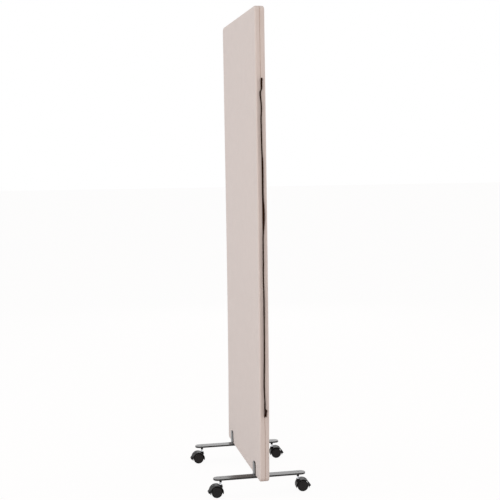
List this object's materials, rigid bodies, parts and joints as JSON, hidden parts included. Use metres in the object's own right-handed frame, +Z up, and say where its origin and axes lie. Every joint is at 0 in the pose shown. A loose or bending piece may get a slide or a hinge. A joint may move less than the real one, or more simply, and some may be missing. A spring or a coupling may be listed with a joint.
{
  "type": "rolling partition",
  "caption": "Free-standing padded acoustic screen on two flat steel feet with twin-wheel braked casters, with a separating zip along each side edge to join the next screen.",
  "frame": {"origin": "on the floor, under the middle of the panel", "axes": "+X towards the right side edge, which carries the zip half with the slider, +Y towards the back face, +Z up"},
  "size_m": [0.6527, 0.3847, 1.7454],
  "materials": {
    "panel_fabric": "soft woven acoustic fabric, pale warm beige-grey, matt",
    "frame_wood": "planed softwood, hidden inside the cover",
    "acoustic_felt": "pressed polyester felt board, hidden inside the cover",
    "face_foam": "soft open-cell foam sheet, hidden inside the cover",
    "insert_brass": "turned brass",
    "zip_tape": "dark brown woven polyester tape",
    "zip_teeth": "dark brown moulded acetal",
    "slider_metal": "dark lacquered die-cast metal",
    "foot_steel": "satin graphite powder coat on flat steel",
    "zinc_steel": "bright zinc plate",
    "sleeve_black": "black oxide",
    "caster_nylon": "black moulded nylon with a low sheen"
  },
  "bodies": {
    "panel": {"frame_top_rail": "frame_wood", "frame_bottom_rail": "frame_wood", "frame_left_stile": "frame_wood", "frame_right_stile": "frame_wood", "acoustic_core": "acoustic_felt", "front_foam": "face_foam", "back_foam": "face_foam", "front_cover": "panel_fabric", "back_cover": "panel_fabric", "panel_inserts": "insert_brass", "right_zip_tape": "zip_tape", "right_zip_teeth": "zip_teeth", "right_zip_top_stop": "zip_teeth", "right_zip_box": "zip_teeth", "left_zip_tape": "zip_tape", "left_zip_teeth": "zip_teeth", "left_zip_top_stop": "zip_teeth", "left_zip_pin": "zip_teeth", "right_foot_bar": "foot_steel", "left_foot_bar": "foot_steel", "right_front_strap": "foot_steel", "right_back_strap": "foot_steel", "left_front_strap": "foot_steel", "left_back_strap": "foot_steel", "right_foot_screws": "zinc_steel", "left_foot_screws": "zinc_steel", "right_front_stem": "zinc_steel", "right_front_sleeve": "sleeve_black", "right_back_stem": "zinc_steel", "right_back_sleeve": "sleeve_black", "left_front_stem": "zinc_steel", "left_front_sleeve": "sleeve_black", "left_back_stem": "zinc_steel", "left_back_sleeve": "sleeve_black"},
    "right_front_caster": {"right_front_hood": "caster_nylon", "right_front_axle": "zinc_steel"},
    "right_front_wheel_a": {"right_front_wheel_a": "caster_nylon"},
    "right_front_wheel_b": {"right_front_wheel_b": "caster_nylon"},
    "right_front_brake": {"right_front_brake": "caster_nylon"},
    "right_back_caster": {"right_back_hood": "caster_nylon", "right_back_axle": "zinc_steel"},
    "right_back_wheel_a": {"right_back_wheel_a": "caster_nylon"},
    "right_back_wheel_b": {"right_back_wheel_b": "caster_nylon"},
    "right_back_brake": {"right_back_brake": "caster_nylon"},
    "left_front_caster": {"left_front_hood": "caster_nylon", "left_front_axle": "zinc_steel"},
    "left_front_wheel_a": {"left_front_wheel_a": "caster_nylon"},
    "left_front_wheel_b": {"left_front_wheel_b": "caster_nylon"},
    "left_front_brake": {"left_front_brake": "caster_nylon"},
    "left_back_caster": {"left_back_hood": "caster_nylon", "left_back_axle": "zinc_steel"},
    "left_back_wheel_a": {"left_back_wheel_a": "caster_nylon"},
    "left_back_wheel_b": {"left_back_wheel_b": "caster_nylon"},
    "left_back_brake": {"left_back_brake": "caster_nylon"},
    "zip_slider": {"zip_slider": "slider_metal"},
    "zip_pull": {"zip_pull": "slider_metal"}
  },
  "joints": [
    {"name": "right_front_swivel", "type": "hinge", "parent": "panel", "child": "right_front_caster", "pos_m": [0.213, -0.145, 0.04421], "axis": [0, 0, 1], "continuous": true},
    {"name": "right_front_wheel_a_spin", "type": "hinge", "parent": "right_front_caster", "child": "right_front_wheel_a", "pos_m": [0.213, -0.161, 0.02], "axis": [-1, 0, 0], "continuous": true},
    {"name": "right_front_wheel_b_spin", "type": "hinge", "parent": "right_front_caster", "child": "right_front_wheel_b", "pos_m": [0.213, -0.161, 0.02], "axis": [-1, 0, 0], "continuous": true},
    {"name": "right_front_brake_press", "type": "hinge", "parent": "right_front_caster", "child": "right_front_brake", "pos_m": [0.213, -0.17171, 0.03189], "axis": [1, 0, 0], "range_deg": [0, 9]},
    {"name": "right_back_swivel", "type": "hinge", "parent": "panel", "child": "right_back_caster", "pos_m": [0.213, 0.145, 0.04421], "axis": [0, 0, 1], "continuous": true},
    {"name": "right_back_wheel_a_spin", "type": "hinge", "parent": "right_back_caster", "child": "right_back_wheel_a", "pos_m": [0.21439, 0.16094, 0.02], "axis": [0.9962, -0.0872, 0], "continuous": true},
    {"name": "right_back_wheel_b_spin", "type": "hinge", "parent": "right_back_caster", "child": "right_back_wheel_b", "pos_m": [0.21439, 0.16094, 0.02], "axis": [0.9962, -0.0872, 0], "continuous": true},
    {"name": "right_back_brake_press", "type": "hinge", "parent": "right_back_caster", "child": "right_back_brake", "pos_m": [0.21533, 0.1716, 0.03189], "axis": [-0.9962, 0.0872, 0], "range_deg": [0, 9]},
    {"name": "left_front_swivel", "type": "hinge", "parent": "panel", "child": "left_front_caster", "pos_m": [-0.213, -0.145, 0.04421], "axis": [0, 0, 1], "continuous": true},
    {"name": "left_front_wheel_a_spin", "type": "hinge", "parent": "left_front_caster", "child": "left_front_wheel_a", "pos_m": [-0.213, -0.161, 0.02], "axis": [-1, 0, 0], "continuous": true},
    {"name": "left_front_wheel_b_spin", "type": "hinge", "parent": "left_front_caster", "child": "left_front_wheel_b", "pos_m": [-0.213, -0.161, 0.02], "axis": [-1, 0, 0], "continuous": true},
    {"name": "left_front_brake_press", "type": "hinge", "parent": "left_front_caster", "child": "left_front_brake", "pos_m": [-0.213, -0.17171, 0.03189], "axis": [1, 0, 0], "range_deg": [0, 9]},
    {"name": "left_back_swivel", "type": "hinge", "parent": "panel", "child": "left_back_caster", "pos_m": [-0.213, 0.145, 0.04421], "axis": [0, 0, 1], "continuous": true},
    {"name": "left_back_wheel_a_spin", "type": "hinge", "parent": "left_back_caster", "child": "left_back_wheel_a", "pos_m": [-0.21161, 0.16094, 0.02], "axis": [0.9962, -0.0872, 0], "continuous": true},
    {"name": "left_back_wheel_b_spin", "type": "hinge", "parent": "left_back_caster", "child": "left_back_wheel_b", "pos_m": [-0.21161, 0.16094, 0.02], "axis": [0.9962, -0.0872, 0], "continuous": true},
    {"name": "left_back_brake_press", "type": "hinge", "parent": "left_back_caster", "child": "left_back_brake", "pos_m": [-0.21067, 0.1716, 0.03189], "axis": [-0.9962, 0.0872, 0], "range_deg": [0, 9]},
    {"name": "zip_slide", "type": "slide", "parent": "panel", "child": "zip_slider", "axis": [0, 0, 1], "range_m": [0, 1.1459]},
    {"name": "pull_swing", "type": "hinge", "parent": "zip_slider", "child": "zip_pull", "pos_m": [0.32158, 0.00415, 0.33302], "axis": [0.9781, 0, -0.2079], "range_deg": [0, 175]}
  ]
}
